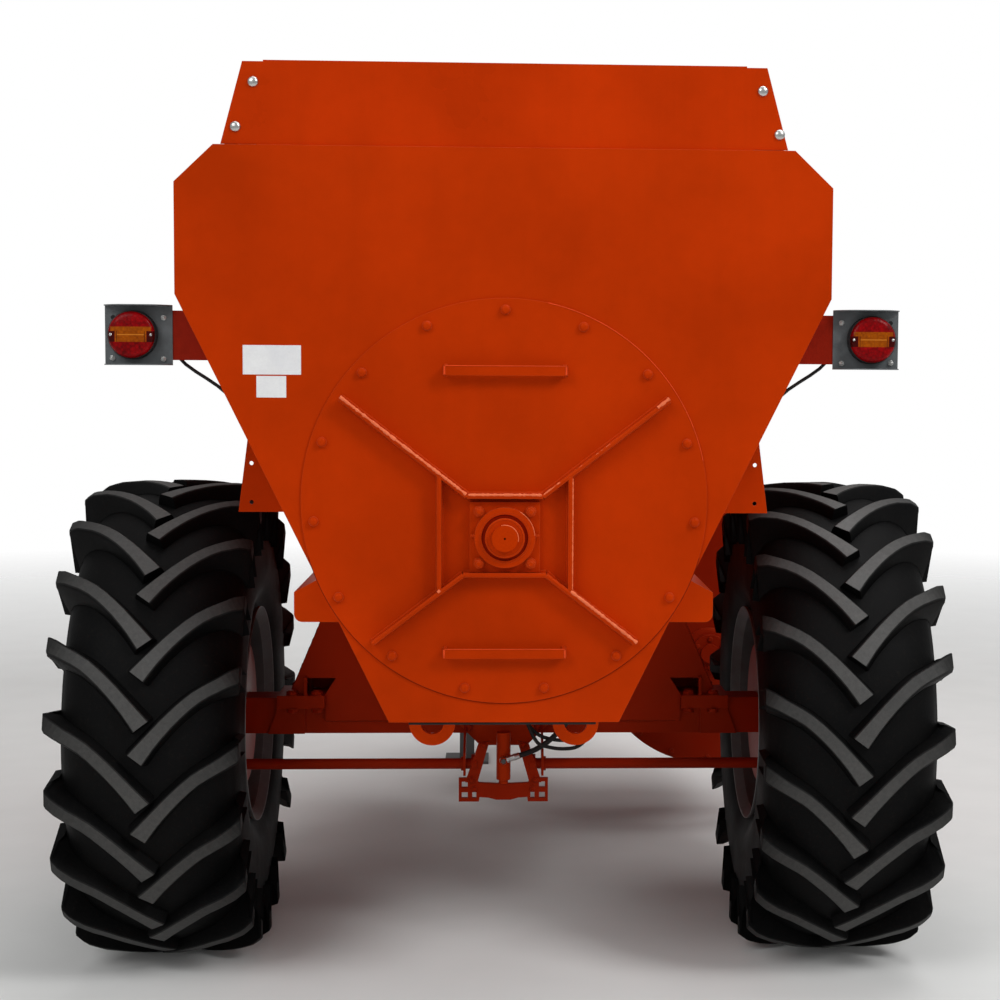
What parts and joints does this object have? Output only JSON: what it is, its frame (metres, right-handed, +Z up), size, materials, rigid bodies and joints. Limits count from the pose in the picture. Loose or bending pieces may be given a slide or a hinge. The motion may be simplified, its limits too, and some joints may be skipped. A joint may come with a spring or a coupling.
{
  "type": "side discharge manure spreader",
  "caption": "Towed V-body manure spreader with a full-length auger, side rotor, sliding door, swinging hood, braked axle, ladder and parking jack.",
  "frame": {"origin": "on the ground below the centre of the machine's bounding box", "axes": "+Y forward along the drawbar, +X to the right-hand side, +Z up"},
  "size_m": [2.777, 4.586, 2.836],
  "materials": {
    "auger_steel": "orange-red paint, worn at the flights' edges",
    "black_rubber": "black cable and hose",
    "bright_steel": "machined steel",
    "chassis_paint": "orange-red paint, satin, under the body",
    "galvanised": "galvanised sheet",
    "gearbox_iron": "painted castings",
    "guard_plastic": "plastic guard",
    "lens_red": "red and amber lamp lens",
    "orange_paint": "gloss orange-red paint",
    "rim_paint": "silver wheel paint",
    "tyre_rubber": "tractor tyre rubber"
  },
  "bodies": {
    "root": {"hopper_left": "orange_paint", "hopper_right": "orange_paint", "hopper_trough": "orange_paint", "rear_panel": "orange_paint", "front_panel": "orange_paint", "extension_rear": "orange_paint", "extension_front": "orange_paint", "extension_left": "orange_paint", "extension_right": "orange_paint", "rear_cover": "orange_paint", "rear_bearing": "orange_paint", "front_bearing": "gearbox_iron", "stringer_left": "orange_paint", "stringer_right": "orange_paint", "wing_plates_left": "orange_paint", "wing_plates_right": "orange_paint", "axle_saddle": "chassis_paint", "axle": "chassis_paint", "axle_seats": "chassis_paint", "brake_linkage": "chassis_paint", "brake_ram": "chassis_paint", "rail_left": "chassis_paint", "rail_right": "chassis_paint", "front_bolster": "chassis_paint", "drawbar_left": "chassis_paint", "drawbar_right": "chassis_paint", "drawbar_head": "chassis_paint", "jack_tube": "chassis_paint", "rotor_housing": "orange_paint", "door_guides": "chassis_paint", "door_ram_barrel": "gearbox_iron", "drive_guard": "orange_paint", "gearbox": "gearbox_iron", "pto_guard": "guard_plastic", "ladder": "chassis_paint", "lamp_guard_left": "galvanised", "lamp_guard_right": "galvanised", "lamp_left": "lens_red", "lamp_right": "lens_red", "lamp_cable_left": "black_rubber", "lamp_cable_right": "black_rubber", "brake_hose": "black_rubber", "rear_lugs": "chassis_paint"},
    "auger": {"auger_tube": "auger_steel", "auger_flight": "auger_steel"},
    "jack": {"jack_leg": "bright_steel"},
    "rotor": {"rotor": "auger_steel"},
    "hood": {"discharge_hood": "orange_paint"},
    "door": {"discharge_door": "orange_paint"},
    "pto": {"pto_shaft": "bright_steel"},
    "wheel_left": {"hub_left": "chassis_paint", "rim_left": "rim_paint", "tyre_left": "tyre_rubber"},
    "wheel_right": {"hub_right": "chassis_paint", "rim_right": "rim_paint", "tyre_right": "tyre_rubber"}
  },
  "joints": [
    {"name": "wheel_left_spin", "type": "hinge", "parent": "root", "child": "wheel_left", "pos_m": [-1.095, -1.183, 0.8], "axis": [1, 0, 0], "continuous": true},
    {"name": "wheel_right_spin", "type": "hinge", "parent": "root", "child": "wheel_right", "pos_m": [1.095, -1.183, 0.8], "axis": [1, 0, 0], "continuous": true},
    {"name": "auger_turn", "type": "hinge", "parent": "root", "child": "auger", "pos_m": [0, -2.209, 1.498], "axis": [0, 1, 0], "continuous": true},
    {"name": "rotor_turn", "type": "hinge", "parent": "root", "child": "rotor", "pos_m": [0.875, 0.511, 0.795], "axis": [0, 1, 0], "continuous": true},
    {"name": "pto_turn", "type": "hinge", "parent": "root", "child": "pto", "pos_m": [0, 1.4666, 0.94], "axis": [0, 1, 0], "continuous": true},
    {"name": "hood_swing", "type": "hinge", "parent": "root", "child": "hood", "pos_m": [1.0359, 0.511, 1.38455], "axis": [0, -1, 0], "range_deg": [0, 50]},
    {"name": "door_slide", "type": "slide", "parent": "root", "child": "door", "axis": [0.4416, 0, 0.8972], "range_m": [0, 0.33]},
    {"name": "jack_slide", "type": "slide", "parent": "root", "child": "jack", "axis": [0, 0, 1], "range_m": [0, 0.3]}
  ],
  "couplings": [
    {"joint": "rotor_turn", "follows": "auger_turn", "ratio": 16},
    {"joint": "pto_turn", "follows": "auger_turn", "ratio": 20}
  ]
}
